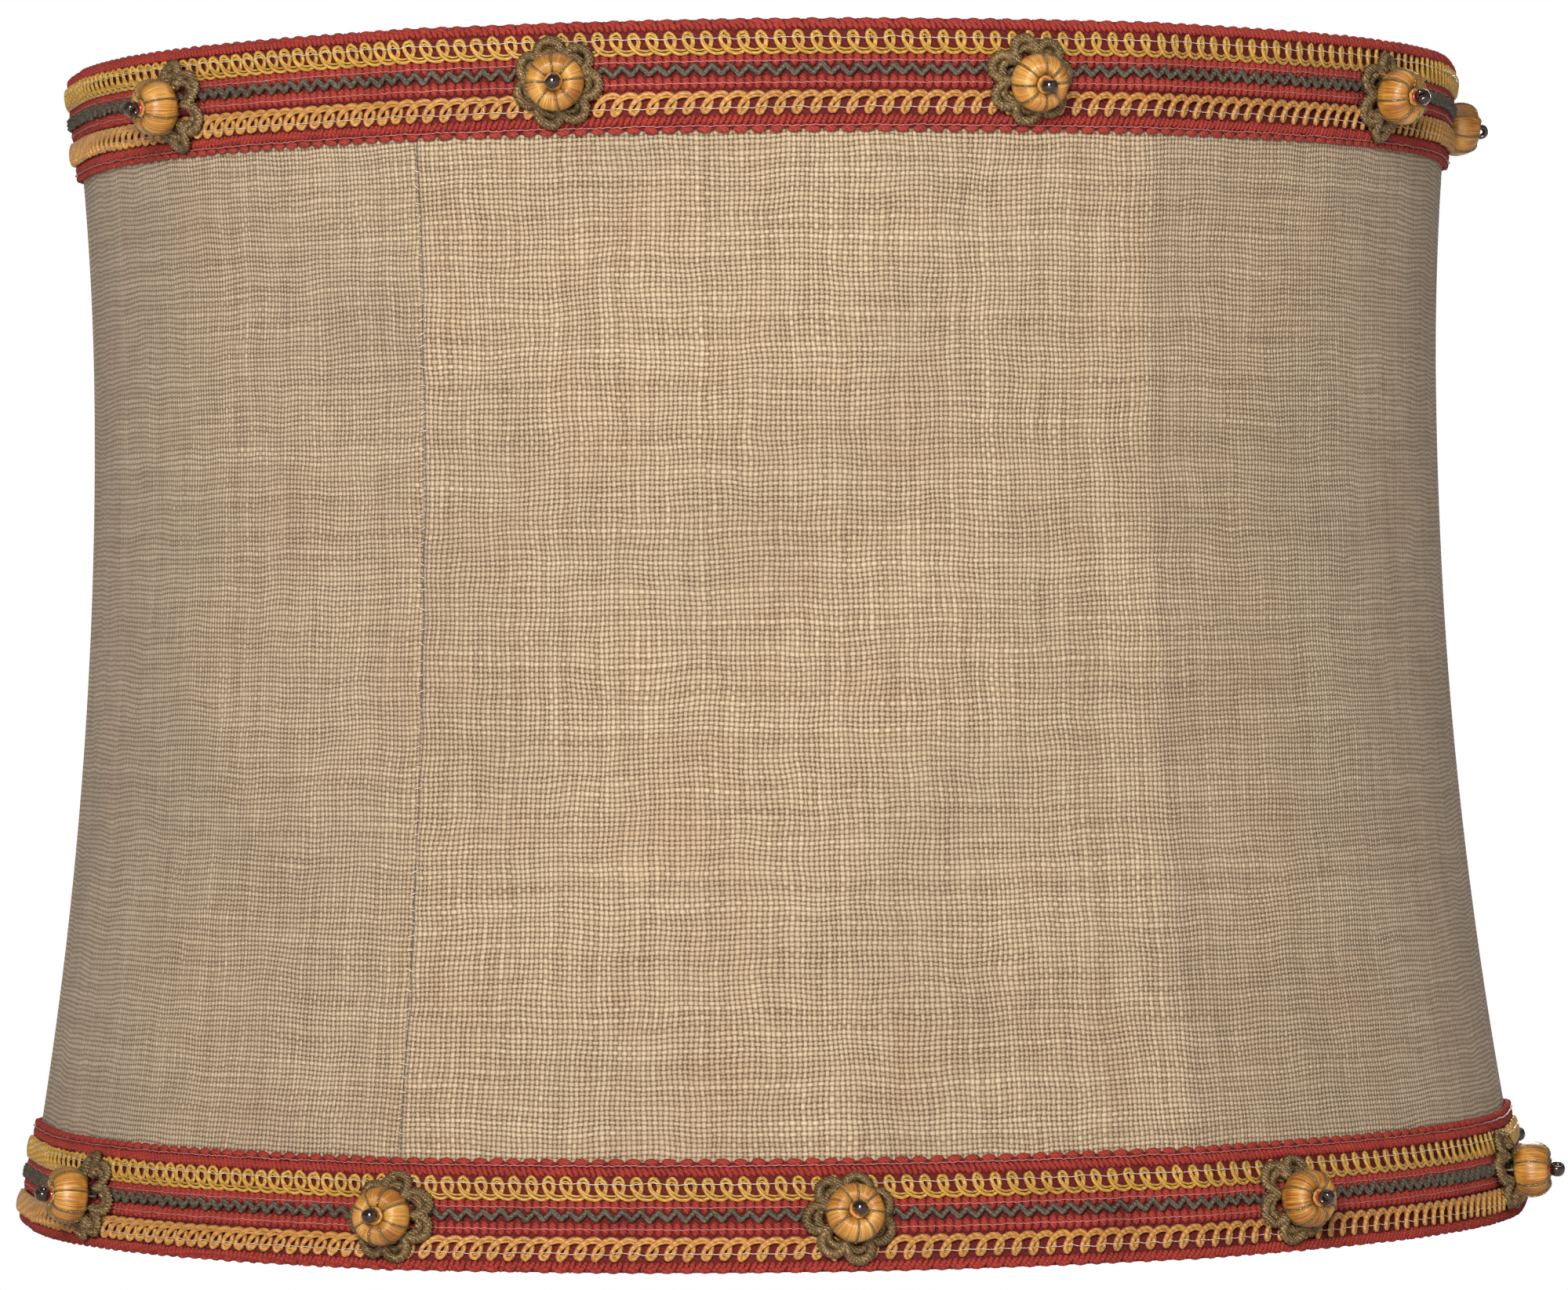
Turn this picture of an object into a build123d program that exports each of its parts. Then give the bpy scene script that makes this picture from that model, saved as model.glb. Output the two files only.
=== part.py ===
from build123d import *
import os
from math import acos, cos, degrees, radians, sin, sqrt, atan

# A round drum lamp shade: linen stretched over a six rib wire frame, lined inside,
# with a wide passementerie braid and beaded rosettes round each rim.
# Millimetres. +Z is up. The origin is the centre of the spider washer's hole, on the
# washer's lower face, where the shade sits on a lamp's harp. Angles run round +Z from
# the front, -Y, towards +X.

# Driving dimensions
shade_height = 309.0         # from the lower edge of the lower braid to the upper edge of the upper one
waist_height = 222.0         # of the narrowest level, above the lower edge
waist_radius = 182.4         # of the linen's outer face there, over a rib
lower_curve_radius = 1168.0  # the ribs' curve below the waist
upper_curve_radius = 771.0   # the ribs' curve above the waist
rim_inset = 2.0              # from the braid's edge to the ring wire

ring_wire = 3.2              # diameters of the frame's wires
rib_wire = 3.0
arm_wire = 3.8
rib_count = 6
first_rib = -28.3            # angle of the rib that carries the first seam

washer_radius = 17.0
washer_hole = 11.1           # diameter, for a harp's 7/16 inch stud and shoulder
washer_thickness = 1.6
fitter_drop = 12.7           # from the washer's lower face up to the middle of the top ring
arm_bend_outer = 54.0        # the arm drops between these two radii
arm_bend_inner = 44.0
arm_bend_radius = 8.0
arm_inner_end = 9.5

linen_thickness = 0.6
lining_thickness = 0.5
lining_end_inset = 8.0       # from the linen's face to the lining at the rings
lining_waist_inset = 4.2     # and at the waist, where the lining touches the ribs
binding_thickness = 0.4
rib_stand_out = 2.6          # how far a rib lifts the linen off the round
weld_gap = 0.02              # between two wires that are welded together
gap = 0.1                    # between pieces of one layer and the next
rib_gap = 0.25               # between the linen and the ribs
flower_gap = 0.4             # between the braid's rows and a flower's flat back
seam_gap = 0.3               # between two sewn edges

# The braid, from its upper picots down: the widths of its rows
braid_width = 28.2
picot_row = 3.6
gimp_row = 6.5
zigzag_width = 2.8
tape_thickness = 1.0
cord_row_thickness = 1.4

# A rosette: a cord flower with a stack of beads on its middle
petal_count = 6
petal_radius = 4.6
petal_offset = 6.6
flower_middle = 6.5
flower_thickness = 2.6
flower_hole = 0.5
satin_radius = 7.25
satin_length = 9.0
satin_bore = 0.55
red_bead_radius = 1.5
red_bead_length = 2.0
seed_bead_radius = 2.15
seed_bead_length = 2.8
bead_bore = 0.45
bead_arcs = 6                # in the oval outline of a bead's section
thread_radius = 0.3
red_bead_seat = 3.3          # from the satin bead's middle to the red bead
top_rosettes = (-148, -110, -54, -16, 21, 59, 98, 136, 174)
bottom_rosettes = (-152, -118, -61, -28, 5, 40, 73, 106, 140, 174)

# Worked out from them
rib_step = 360.0 / rib_count
upper_edge = fitter_drop + ring_wire / 2 + rim_inset
lower_edge = upper_edge - shade_height
waist_z = lower_edge + waist_height
top_ring_z = fitter_drop
bottom_ring_z = lower_edge + rim_inset + ring_wire / 2


# The linen's outer radius over a rib: two arcs that are tangent at the waist
def linen_radius(z):
    rise = z - waist_z
    curve = upper_curve_radius if rise > 0 else lower_curve_radius
    return waist_radius + curve - sqrt(curve ** 2 - rise ** 2)


def ring_radius(z):
    return linen_radius(z) - linen_thickness - rib_gap - rib_wire - weld_gap - ring_wire / 2


def at_angle(radius, angle, z):
    return Vector(radius * sin(radians(angle)), -radius * cos(radians(angle)), z)


# A level line round the linen, moved out by offset: round between the ribs, with
# straight stretches where the cloth leaves the circle to pass over each rib.
def peak_and_circle(z, offset):
    peak = linen_radius(z) + offset
    circle = peak - rib_stand_out
    return peak, circle, degrees(acos(circle / peak))


def skin_radius(angle, z, offset):
    peak, circle, reach = peak_and_circle(z, offset)
    from_rib = abs((angle - first_rib + rib_step / 2) % rib_step - rib_step / 2)
    if from_rib >= reach:
        return circle
    return circle / cos(radians(reach - from_rib))


# The way the skin faces there, as an angle round +Z: a straight stretch faces the
# way of its end on the circle, and the crease itself faces straight out
def skin_facing(angle, z, offset, crease):
    reach = peak_and_circle(z, offset)[2]
    from_rib = (angle - first_rib + rib_step / 2) % rib_step - rib_step / 2
    if abs(from_rib) >= reach:
        return angle
    turn = reach * max(-1, min(1, from_rib / crease))
    return angle - from_rib + turn


def skin_edges(z, offset, start, panels):
    peak, circle, reach = peak_and_circle(z, offset)
    back = degrees(seam_gap / 2 / peak)
    edges = []
    for panel in range(panels):
        left = start + panel * rib_step
        right = left + rib_step
        first = left + back if panel == 0 else left
        last = right - back if panel == panels - 1 else right
        turn_in = at_angle(circle, left + reach, z)
        middle = at_angle(circle, left + rib_step / 2, z)
        turn_out = at_angle(circle, right - reach, z)
        edges.append(Line(at_angle(skin_radius(first, z, offset), first, z), turn_in))
        edges.append(ThreePointArc(turn_in, middle, turn_out))
        edges.append(Line(turn_out, at_angle(skin_radius(last, z, offset), last, z)))
    return edges


# A strip of cloth or braid that lies round the shade between two levels
def strip(low, high, inner, outer, start, panels, levels):
    sections = []
    for level in range(levels):
        z = low + (high - low) * level / (levels - 1)
        outside = skin_edges(z, outer, start, panels)
        inside = skin_edges(z, inner, start, panels)
        ends = [Line(outside[0] @ 0, inside[0] @ 0), Line(outside[-1] @ 1, inside[-1] @ 1)]
        sections.append(Face(Wire(outside + inside + ends)))
    return loft(sections)


def cover_half(start):
    low = bottom_ring_z - ring_wire / 2
    high = top_ring_z + ring_wire / 2
    return strip(low, high, -linen_thickness, 0, start, rib_count // 2, levels=7)


# The lining hangs inside the ribs: round, and less waisted than the linen
def lining_arc(inset):
    low_z = bottom_ring_z - ring_wire / 2
    high_z = top_ring_z - arm_wire / 2 - seam_gap
    low = linen_radius(low_z) - lining_end_inset - inset
    high = linen_radius(high_z) - lining_end_inset - inset
    waist = waist_radius - lining_waist_inset - inset
    return [(low, low_z), (waist, waist_z), (high, high_z)]


def lining_edges(inset):
    low, waist, high = lining_arc(inset)
    lower = TangentArc(waist, low, tangent=(0, -1))
    upper = TangentArc(waist, high, tangent=(0, 1))
    return lower, upper


def lining_half(start):
    outer_lower, outer_upper = lining_edges(0)
    inner_lower, inner_upper = lining_edges(lining_thickness)
    low_end = Line(outer_lower @ 1, inner_lower @ 1)
    high_end = Line(outer_upper @ 1, inner_upper @ 1)
    outline = Wire([outer_lower, outer_upper, high_end, inner_upper, inner_lower, low_end])
    section = Plane.XZ * Face(outline)
    back = degrees(seam_gap / 2 / waist_radius)
    half = revolve(section, Axis.Z, 180 - 2 * back)
    return half.rotate(Axis.Z, start + back - 90)


# A ring's own round wire
def ring(z):
    return Pos(0, 0, z) * Torus(ring_radius(z), ring_wire / 2)


def rib(angle):
    inset = linen_thickness + rib_gap + rib_wire / 2
    low = (linen_radius(bottom_ring_z) - inset, bottom_ring_z)
    high = (linen_radius(top_ring_z) - inset, top_ring_z)
    waist = (waist_radius - inset, waist_z)
    path = Wire([TangentArc(waist, low, tangent=(0, -1)), TangentArc(waist, high, tangent=(0, 1))])
    path = Plane.XZ * path
    wire = sweep(Plane(path @ 0, z_dir=path % 0) * Circle(rib_wire / 2), path)
    return wire.rotate(Axis.Z, angle - 90)


def spider_arm(angle):
    seat = washer_thickness + arm_wire / 2 + weld_gap
    start = ring_radius(top_ring_z) - ring_wire / 2 - weld_gap
    route = [(start, top_ring_z), (arm_bend_outer, top_ring_z), (arm_bend_inner, seat), (arm_inner_end, seat)]
    path = Plane.XZ * FilletPolyline(*route, radius=arm_bend_radius)
    wire = sweep(Plane(path @ 0, z_dir=path % 0) * Circle(arm_wire / 2), path)
    return wire.rotate(Axis.Z, angle - 90)


def spider_washer():
    disc = Circle(washer_radius) - Circle(washer_hole / 2)
    return extrude(disc, washer_thickness)


# Cotton tape wound round a ring, notched where a rib stands outside it or an arm
# leaves inside it
def ring_binding(z, rib_angles, arm_angles):
    radius = ring_radius(z)
    inner = ring_wire / 2 + weld_gap
    section = Plane.XZ * Pos(radius, z) * (Circle(inner + binding_thickness) - Circle(inner))
    skin = revolve(section, Axis.Z)
    notch = rib_wire + 2 * gap
    for angle in rib_angles:
        skin -= Pos(0, 0, z) * Rot(0, 0, angle) * Pos(0, -radius - notch, 0) * Box(notch, 2 * notch, 3 * ring_wire)
    for angle in arm_angles:
        skin -= Pos(0, 0, z) * Rot(0, 0, angle) * Pos(0, notch - radius, 0) * Box(arm_wire + 2 * gap, 2 * notch, arm_wire)
    return skin


# The braid: a woven tape, with rows of gimp and a zigzag braid on it
def braid_rows(low):
    face = gap + tape_thickness + gap
    high = low + braid_width
    middle = (low + high) / 2
    rows = {
        "braid_tape": (low, high, gap, gap + tape_thickness),
        "upper_gimp": (high - picot_row - gimp_row, high - picot_row, face, face + cord_row_thickness),
        "lower_gimp": (low + picot_row, low + picot_row + gimp_row, face, face + cord_row_thickness),
        "zigzag_braid": (middle - zigzag_width / 2, middle + zigzag_width / 2, face, face + cord_row_thickness),
    }
    seam = first_rib - rib_step
    return {name: strip(*row, seam, rib_count, levels=3) for name, row in rows.items()}


# The plane of a rosette's back, on top of the braid's cord rows
def rosette_plane(angle, z):
    offset = 2 * gap + tape_thickness + cord_row_thickness + flower_gap
    radius = skin_radius(angle, z, offset)
    rise = z - waist_z
    lean = atan(rise / (upper_curve_radius if rise > 0 else lower_curve_radius))
    crease = degrees(petal_offset / radius)
    facing = skin_facing(angle, z, offset, crease)
    outward = at_angle(cos(lean), facing, -sin(lean))
    along = Vector(cos(radians(facing)), sin(radians(facing)), 0)
    return Plane(at_angle(radius, angle, z), x_dir=along, z_dir=outward)


def flower():
    petals = PolarLocations(petal_offset, petal_count) * Circle(petal_radius)
    outline = Circle(flower_middle) + petals - Circle(flower_hole)
    return extrude(outline, flower_thickness)


# Every bead is a ring of oval section, threaded on the rosette's middle
def bead(bore, radius, length, middle):
    centre, across, along = ((bore + radius) / 2, 0), (radius - bore) / 2, length / 2
    arc = 360 / bead_arcs
    oval = [EllipticalCenterArc(centre, across, along, arc * k, arc_size=arc) for k in range(bead_arcs)]
    return Pos(0, 0, middle) * revolve(make_face([Plane.XZ * line for line in oval]), Axis.Z)


def rosettes(angles, low):
    satin = flower_thickness + gap + satin_length / 2
    red = satin + red_bead_seat + red_bead_length / 2
    seed = red + red_bead_length / 2 + gap + seed_bead_length / 2
    pieces = {
        "flowers": flower(),
        "satin_beads": bead(satin_bore, satin_radius, satin_length, satin),
        "red_beads": bead(bead_bore, red_bead_radius, red_bead_length, red),
        "seed_beads": bead(bead_bore, seed_bead_radius, seed_bead_length, seed),
        "bead_threads": Pos(0, 0, seed / 2) * Cylinder(thread_radius, seed),
    }
    places = [rosette_plane(angle, low + braid_width / 2) for angle in angles]
    return {name: [place * piece for place in places] for name, piece in pieces.items()}


def trim(rim, low, angles):
    nodes = {f"{rim}_{name}": row for name, row in braid_rows(low).items()}
    for name, pieces in rosettes(angles, low).items():
        nodes[f"{rim}_{name}"] = Compound(children=[solid for piece in pieces for solid in piece.solids()])
    return nodes


def build():
    rib_angles = [first_rib + rib_step * i for i in range(rib_count)]
    ribs = [rib(angle) for angle in rib_angles]
    arms = [spider_arm(angle) for angle in rib_angles[::2]]
    nodes = {"top_ring": ring(top_ring_z), "bottom_ring": ring(bottom_ring_z)}
    nodes |= {f"rib_{i + 1}": wire for i, wire in enumerate(ribs)}
    nodes |= {f"spider_arm_{i + 1}": wire for i, wire in enumerate(arms)}
    nodes["spider_washer"] = spider_washer()
    nodes["top_ring_binding"] = ring_binding(top_ring_z, rib_angles, rib_angles[::2])
    nodes["bottom_ring_binding"] = ring_binding(bottom_ring_z, rib_angles, [])
    nodes["right_cover"] = cover_half(first_rib)
    nodes["left_cover"] = cover_half(first_rib + 180)
    nodes["right_lining"] = lining_half(first_rib)
    nodes["left_lining"] = lining_half(first_rib + 180)
    nodes |= trim("top", upper_edge - braid_width, top_rosettes)
    nodes |= trim("bottom", lower_edge, bottom_rosettes)
    return nodes


os.makedirs("parts", exist_ok=True)
for name, shape in build().items():
    export_step(shape, f"parts/{name}.step")
    print(name, round(shape.volume, 1))
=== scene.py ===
import math
import random

import bpy
from mathutils import Matrix, Vector


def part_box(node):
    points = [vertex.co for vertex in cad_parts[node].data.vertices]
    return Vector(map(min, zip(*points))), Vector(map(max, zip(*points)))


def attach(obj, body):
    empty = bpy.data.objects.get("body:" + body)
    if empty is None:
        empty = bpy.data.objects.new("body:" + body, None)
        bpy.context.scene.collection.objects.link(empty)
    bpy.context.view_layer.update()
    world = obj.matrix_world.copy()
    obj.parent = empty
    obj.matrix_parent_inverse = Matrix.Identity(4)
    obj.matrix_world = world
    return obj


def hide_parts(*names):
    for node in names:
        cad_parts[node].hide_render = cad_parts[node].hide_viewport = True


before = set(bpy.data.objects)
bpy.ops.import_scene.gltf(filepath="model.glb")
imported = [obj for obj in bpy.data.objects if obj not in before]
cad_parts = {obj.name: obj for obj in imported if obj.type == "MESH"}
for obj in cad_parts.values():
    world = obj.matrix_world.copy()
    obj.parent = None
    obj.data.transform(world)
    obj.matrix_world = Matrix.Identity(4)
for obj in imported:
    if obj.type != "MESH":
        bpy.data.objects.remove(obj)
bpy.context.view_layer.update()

# A drum lamp shade: linen over six ribs, a lining inside, and a wide braid with beaded
# rosettes round each rim. Metres. Angles are degrees round +Z from the front, towards +X.

shade = {
    "top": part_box("top_braid_tape")[1][2],
    "bottom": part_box("bottom_braid_tape")[0][2],
    "waistHeight": 0.222,    # of the narrowest level, above the lower edge
    "waistRadius": 0.1824,   # of the linen's face over a rib
    "lowerCurve": 1.168,     # the ribs' curves below and above the waist
    "upperCurve": 0.771,
    "ribStandOut": 0.0026,   # how far a rib lifts the linen off the round
    "ribSoftness": 0.55,     # degrees over which the linen turns across a rib
    "firstRib": -28.3,       # the seams lie on this rib and the one opposite
    "ribStep": 60.0,
}
waistZ = shade["bottom"] + shade["waistHeight"]


class Wire:
    def __init__(self, graph, socket):
        self.graph = graph
        self.socket = socket

    def math(self, operation, *others):
        inputs = {i: value for i, value in enumerate((self,) + others)}
        return self.graph.node("ShaderNodeMath", {"operation": operation}, inputs)

    def out(self, name):
        return Wire(self.graph, self.socket.node.outputs[name])

    def __add__(self, other):
        return self.math("ADD", other)

    def __radd__(self, other):
        return self.math("ADD", other)

    def __sub__(self, other):
        return self.math("SUBTRACT", other)

    def __rsub__(self, other):
        return (self * -1).math("ADD", other)

    def __mul__(self, other):
        return self.math("MULTIPLY", other)

    def __rmul__(self, other):
        return self.math("MULTIPLY", other)

    def __truediv__(self, other):
        return self.math("DIVIDE", other)

    def __pow__(self, other):
        return self.math("POWER", other)

    def __gt__(self, other):
        return self.math("GREATER_THAN", other)


class Graph:
    def __init__(self, tree):
        self.tree = tree

    def node(self, kind, settings=None, inputs=None, out=0):
        made = self.tree.nodes.new(kind)
        for name, value in (settings or {}).items():
            if name == "ramp":
                while len(made.color_ramp.elements) < len(value):
                    made.color_ramp.elements.new(0.5)
                for stop, (place, colour) in zip(made.color_ramp.elements, value):
                    stop.position = place
                    stop.color = (*colour, 1)
            else:
                setattr(made, name, value)
        for name, value in (inputs or {}).items():
            if isinstance(value, Wire):
                self.tree.links.new(value.socket, made.inputs[name])
            else:
                made.inputs[name].default_value = value
        return Wire(self, made.outputs[out]) if made.outputs else made

    def mix(self, factor, first, second):
        inputs = {0: factor, 6: first, 7: second}
        inputs = {k: (*v, 1) if isinstance(v, tuple) else v for k, v in inputs.items()}
        return self.node("ShaderNodeMix", {"data_type": "RGBA"}, inputs, 2)

    def vector(self, operation, *values, out=0):
        return self.node("ShaderNodeVectorMath", {"operation": operation}, dict(enumerate(values)), out)

    def scaled(self, vector, amount):
        return self.node("ShaderNodeVectorMath", {"operation": "SCALE"}, {0: vector, "Scale": amount})


def linear(red, green, blue):
    tones = [c / 255 for c in (red, green, blue)]
    return tuple(t / 12.92 if t <= 0.04045 else ((t + 0.055) / 1.055) ** 2.4 for t in tones)


def newMaterial(name, roughness, **constants):
    material = bpy.data.materials.new(name)
    material.use_nodes = True
    graph = Graph(material.node_tree)
    shader = material.node_tree.nodes["Principled BSDF"]
    shader.inputs["Roughness"].default_value = roughness
    for key, value in constants.items():
        shader.inputs[key.replace("_", " ")].default_value = value
    return material, graph, shader


def feed(graph, shader, socket, wire):
    graph.tree.links.new(wire.socket, shader.inputs[socket])


def feedBump(graph, shader, height, distance, strength=1.0):
    bump = graph.node("ShaderNodeBump", None, {"Strength": strength, "Distance": distance, "Height": height})
    feed(graph, shader, "Normal", bump)


def objectPlace(graph):
    return graph.node("ShaderNodeTexCoord", out="Object")


def noise(graph, place, scale, detail=3.0, roughness=0.5, out="Fac"):
    inputs = {"Vector": place, "Scale": scale, "Detail": detail, "Roughness": roughness}
    return graph.node("ShaderNodeTexNoise", None, inputs, out)


def chance(graph, wire, seed):
    return graph.node("ShaderNodeTexWhiteNoise", {"noise_dimensions": "1D"}, {"W": wire + seed})


def joined(graph, x, y, z=0.0):
    return graph.node("ShaderNodeCombineXYZ", None, {"X": x, "Y": y, "Z": z})


linen = {
    "threads": 787.0,        # per metre, 20 to the inch
    "light": linear(226, 202, 168),
    "middle": linear(178, 150, 116),
    "grey": linear(162, 146, 122),
    "rosy": linear(188, 148, 118),
    # The hole tone is painted shade: the dark in the gaps between threads and down their flanks
    "hole": linear(84, 58, 30),
}


# Slubby plain weave: warp and weft threads each with their own width, tone and slubs, with painted shade in
# the gaps between threads and down their flanks
def linenMaterial():
    material, graph, shader = newMaterial("oatmealLinen", 0.88, Sheen_Weight=0.12, Sheen_Roughness=0.6)
    place = graph.node("ShaderNodeUVMap", {"uv_map": "cloth"})
    parts = graph.node("ShaderNodeSeparateXYZ", None, {"Vector": place})
    across, along = parts.out("X"), parts.out("Y")
    drift = noise(graph, place, 26.0, 2.0)
    sway = noise(graph, place, 41.0, 2.0, out="Color")
    swayParts = graph.node("ShaderNodeSeparateXYZ", None, {"Vector": sway})
    u = across * linen["threads"] + (swayParts.out("X") - 0.5) * 3.0
    v = along * linen["threads"] + (swayParts.out("Y") - 0.5) * 3.0
    warp, weft = u.math("FLOOR"), v.math("FLOOR")
    warpSlub = noise(graph, joined(graph, warp * 3.17, v * 0.055), 1.0, 3.0, 0.6)
    weftSlub = noise(graph, joined(graph, u * 0.055, weft * 3.17, 9.0), 1.0, 3.0, 0.6)
    warpWidth = 0.16 + warpSlub * 0.42 + chance(graph, warp, 3.5) * 0.06
    weftWidth = 0.16 + weftSlub * 0.42 + chance(graph, weft, 8.5) * 0.06
    warpRound = (1 - ((u - warp - 0.5) / warpWidth) ** 2.0).math("MAXIMUM", 0.0)
    weftRound = (1 - ((v - weft - 0.5) / weftWidth) ** 2.0).math("MAXIMUM", 0.0)
    turn = ((warp + weft) * math.pi).math("COSINE")
    warpRise = (v - weft - 0.5) * math.pi
    weftRise = (u - warp - 0.5) * math.pi
    warpHeight = warpRound.math("SQRT") * (0.55 + turn * warpRise.math("COSINE") * 0.45)
    weftHeight = weftRound.math("SQRT") * (0.55 - turn * weftRise.math("COSINE") * 0.45)
    top = warpHeight.math("MAXIMUM", weftHeight)
    warpOnTop = warpHeight > weftHeight
    warpTone = chance(graph, warp, 21.5) * 0.5 + warpSlub * 0.9 - 0.2
    weftTone = chance(graph, weft, 57.5) * 0.5 + weftSlub * 0.9 - 0.2
    ownTone = warpOnTop * warpTone + (1 - warpOnTop) * weftTone
    fibre = noise(graph, joined(graph, u * 0.9, v * 0.9, warpOnTop * 5), 3.4, 3.0, 0.7)
    tone = graph.mix((ownTone + fibre * 0.35 - 0.17).math("MAXIMUM", 0.0), linen["middle"], linen["light"])
    greyPatch = (noise(graph, place, 17.0, 2.0) * 3.0 - 1.35).math("MAXIMUM", 0.0).math("MINIMUM", 1.0)
    tone = graph.mix(greyPatch * 0.35, tone, linen["grey"])
    rosyPatch = (drift * 3.2 - 1.6).math("MAXIMUM", 0.0).math("MINIMUM", 1.0)
    tone = graph.mix(rosyPatch * 0.4, tone, linen["rosy"])
    # Painted shade: the gaps take the hole tone, and each thread darkens towards it as it dips
    solid = (top * 3.2).math("MINIMUM", 1.0)
    shadow = 0.02 + top * 1.05
    tone = graph.mix(solid, linen["hole"], tone)
    tone = graph.mix(shadow.math("MINIMUM", 1.0), linen["hole"], tone)
    feed(graph, shader, "Base Color", tone)
    feedBump(graph, shader, top + fibre * 0.12, 0.00045, 0.9)
    return material


liningCloth = {"threads": 2400.0, "tone": linear(238, 232, 216), "shadow": linear(214, 205, 184)}


def liningMaterial():
    material, graph, shader = newMaterial("liningCloth", 0.62, Sheen_Weight=0.25, Sheen_Roughness=0.4)
    place = graph.node("ShaderNodeUVMap", {"uv_map": "cloth"})
    parts = graph.node("ShaderNodeSeparateXYZ", None, {"Vector": place})
    wave = (parts.out("X") * linen["threads"] * 9).math("SINE") * 0.5
    cross = (parts.out("Y") * linen["threads"] * 9).math("SINE") * 0.5
    patch = noise(graph, place, 9.0, 4.0, 0.6)
    streak = noise(graph, joined(graph, parts.out("X") * 600.0, parts.out("Y") * 6.0), 1.0, 2.0)
    tone = graph.mix(patch * 0.6 + streak * 0.4, liningCloth["shadow"], liningCloth["tone"])
    feed(graph, shader, "Base Color", tone)
    feedBump(graph, shader, wave + cross + streak, 0.00006, 0.6)
    return material


# Twisted yarn: fine slanting plies on tone that drifts along the row, lighter on the ply crests and darker in
# the grooves: painted highlight and shade
def yarnMaterial(name, dark, light, plies, roughness, depth=0.0002, **constants):
    material, graph, shader = newMaterial(name, roughness, **constants)
    place = objectPlace(graph)
    drift = noise(graph, place, 90.0, 3.0, 0.6)
    fine = noise(graph, place, plies, 2.0, 0.7)
    parts = graph.node("ShaderNodeSeparateXYZ", None, {"Vector": place})
    slant = (parts.out("X") + parts.out("Y") + parts.out("Z") * 1.3) * plies * 2.6
    ply = (slant + fine * 5.0).math("SINE") * 0.5 + 0.5
    # The ply term is painted highlight on the crests and painted shade in the grooves; the noise terms are
    # tone that differs at random
    tone = graph.mix((ply * 0.35 + fine * 0.5 + drift * 0.5 - 0.15).math("MAXIMUM", 0.0), dark, light)
    feed(graph, shader, "Base Color", tone)
    feedBump(graph, shader, ply + fine, depth, 0.8)
    return material


# Each yarn's dark tone also serves as painted shade in its ply grooves, and its light tone as painted
# highlight on the crests
finishes = {
    "redYarn": dict(dark=linear(92, 14, 14), light=linear(190, 62, 46), plies=1500.0, roughness=0.8),
    "redTape": dict(dark=linear(60, 8, 12), light=linear(128, 26, 28), plies=1400.0, roughness=0.9),
    "paleGoldCord": dict(dark=linear(134, 88, 18), light=linear(232, 182, 74), plies=900.0, roughness=0.42,
                         Sheen_Weight=0.1, Specular_IOR_Level=0.6),
    "amberGoldCord": dict(dark=linear(142, 86, 26), light=linear(226, 166, 82), plies=900.0, roughness=0.42,
                          Sheen_Weight=0.1, Specular_IOR_Level=0.6),
    "charcoalBraid": dict(dark=linear(20, 16, 14), light=linear(118, 106, 88), plies=1200.0, roughness=0.45),
    "bronzeCord": dict(dark=linear(38, 26, 16), light=linear(168, 138, 92), plies=1500.0, roughness=0.32,
                       Metallic=0.35),
    "pinkThread": dict(dark=linear(150, 60, 58), light=linear(232, 160, 150), plies=2000.0, roughness=0.4),
    "nylonThread": dict(dark=linear(206, 196, 176), light=linear(250, 246, 236), plies=2000.0, roughness=0.2),
    "darkTwist": dict(dark=linear(40, 26, 16), light=linear(190, 164, 118), plies=2200.0, roughness=0.3,
                      Metallic=0.6),
    "sewingThread": dict(dark=linear(150, 128, 92), light=linear(206, 188, 150), plies=2200.0, roughness=0.6),
}


# Satin threads laid from hole to hole over the bead, with painted sheen in their palest strands and patches
def satinMaterial():
    material, graph, shader = newMaterial("satinThread", 0.32, Specular_IOR_Level=0.7)
    place = graph.node("ShaderNodeAttribute", {"attribute_name": "beadPlace"}, out="Vector")
    parts = graph.node("ShaderNodeSeparateXYZ", None, {"Vector": place})
    around, along, bead = parts.out("X"), parts.out("Y"), parts.out("Z")
    strand = noise(graph, joined(graph, around * 130.0, along * 1.2, bead * 7.0), 1.0, 2.0, 0.7)
    patch = noise(graph, joined(graph, around * 5.0, along * 1.5, bead * 11.0), 1.0, 2.0)
    # Dark brown to pale gold at random along the strands: the thread's own tone, with its palest stops
    # standing in as painted sheen
    tone = graph.node("ShaderNodeValToRGB", {"ramp": [
        (0.28, linear(92, 46, 10)), (0.42, linear(156, 92, 26)), (0.56, linear(212, 152, 66)),
        (0.76, linear(248, 210, 132))]}, {"Fac": strand * 0.55 + patch * 0.45})
    feed(graph, shader, "Base Color", tone)
    feedBump(graph, shader, strand, 0.00025, 0.7)
    return material


def glassMaterial(name, tone, depth, roughness):
    material, graph, shader = newMaterial(name, roughness, Coat_Weight=1.0, Coat_Roughness=0.03)
    place = objectPlace(graph)
    cloud = noise(graph, place, 700.0, 2.0)
    feed(graph, shader, "Base Color", graph.mix(cloud, depth, tone))
    feed(graph, shader, "Roughness", cloud * 0.1 + roughness)
    return material


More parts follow.
